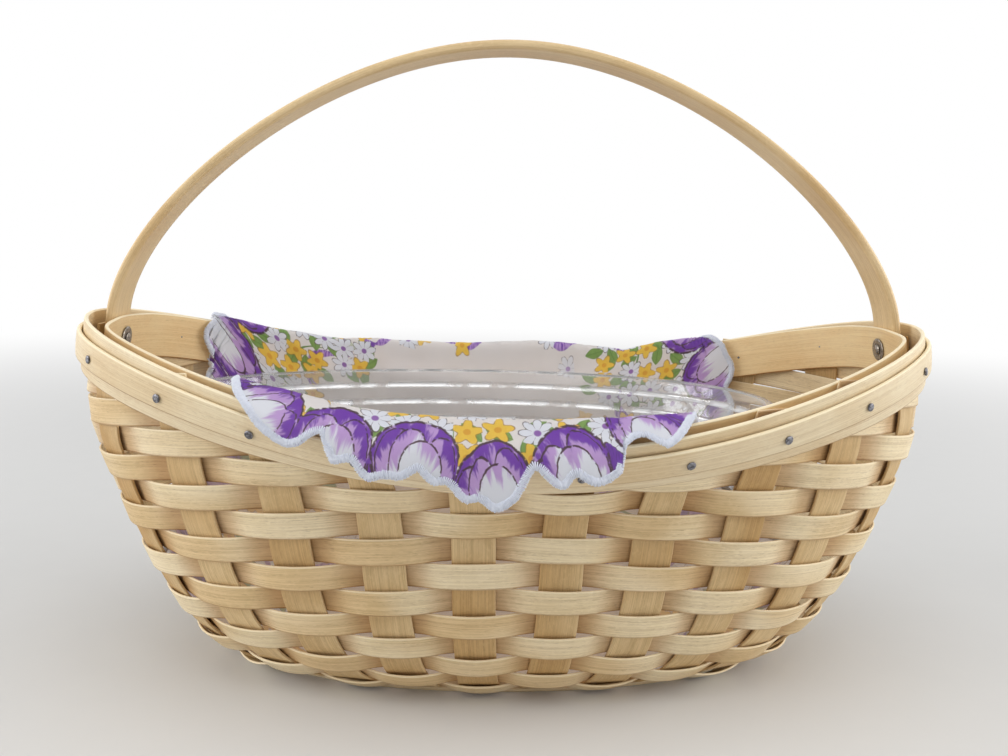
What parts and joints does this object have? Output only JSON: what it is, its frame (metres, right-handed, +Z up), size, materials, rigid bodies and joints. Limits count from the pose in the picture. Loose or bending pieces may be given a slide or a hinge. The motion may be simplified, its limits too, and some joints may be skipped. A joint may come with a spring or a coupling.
{
  "type": "oval splint basket",
  "caption": "Oval woven wood-splint basket with swept rim, bent hoop handle, tacked bands, draped cloth liner and a clear drop-in tub.",
  "frame": {"origin": "centre of the whole part's box in plan, on the plane the basket stands on (underside of the base binder)", "axes": "+X along the basket from handle foot to handle foot (right in the picture), +Y across it away from the camera, +Z up"},
  "size_m": [0.432, 0.2634, 0.3156],
  "materials": {
    "splint": "satin clear-finished maple, grain along the splint",
    "weaver": "satin clear-finished maple, grain along the strip",
    "band": "satin clear-finished maple with rounded edges",
    "handle": "smooth satin clear-finished maple",
    "binder": "satin, a little darker maple",
    "tack": "dull grey steel",
    "rivet": "dull grey steel, peened",
    "cloth": "white cotton with a small violet, lilac and yellow flower print and a white embroidered edge",
    "tub": "clear glossy thermoformed plastic"
  },
  "bodies": {
    "basket": {"crosswise_splint_1": "splint", "crosswise_splint_2": "splint", "crosswise_splint_3": "splint", "crosswise_splint_4": "splint", "crosswise_splint_5": "splint", "crosswise_splint_6": "splint", "crosswise_splint_7": "splint", "crosswise_splint_8": "splint", "lengthwise_splint_1": "splint", "lengthwise_splint_2": "splint", "lengthwise_splint_3": "splint", "weaver_row_01": "weaver", "weaver_row_02": "weaver", "weaver_row_03": "weaver", "weaver_row_04": "weaver", "weaver_row_05": "weaver", "weaver_row_06": "weaver", "weaver_row_07": "weaver", "weaver_row_08": "weaver", "weaver_row_09": "weaver", "weaver_row_10": "weaver", "weaver_row_11": "weaver", "weaver_row_12": "weaver", "right_end_row_1": "weaver", "left_end_row_1": "weaver", "right_end_row_2": "weaver", "left_end_row_2": "weaver", "base_binder": "binder", "inner_rim_band": "band", "outer_rim_band": "band", "rim_trim": "band", "handle_hoop": "handle", "right_rivet": "rivet", "right_rivet_burr": "rivet", "left_rivet": "rivet", "left_rivet_burr": "rivet", "tack_01": "tack", "tack_02": "tack", "tack_03": "tack", "tack_04": "tack", "tack_05": "tack", "tack_06": "tack", "tack_07": "tack", "tack_08": "tack", "tack_09": "tack", "tack_10": "tack", "tack_11": "tack", "tack_12": "tack", "tack_13": "tack", "tack_14": "tack", "tack_15": "tack", "tack_16": "tack", "tack_17": "tack", "tack_18": "tack", "tack_19": "tack", "tack_20": "tack", "cloth_liner": "cloth"},
    "tub": {"clear_tub": "tub"}
  },
  "joints": [
    {"name": "tub_lift", "type": "slide", "parent": "basket", "child": "tub", "axis": [0, 0, 1], "range_m": [0, 0.05]}
  ]
}
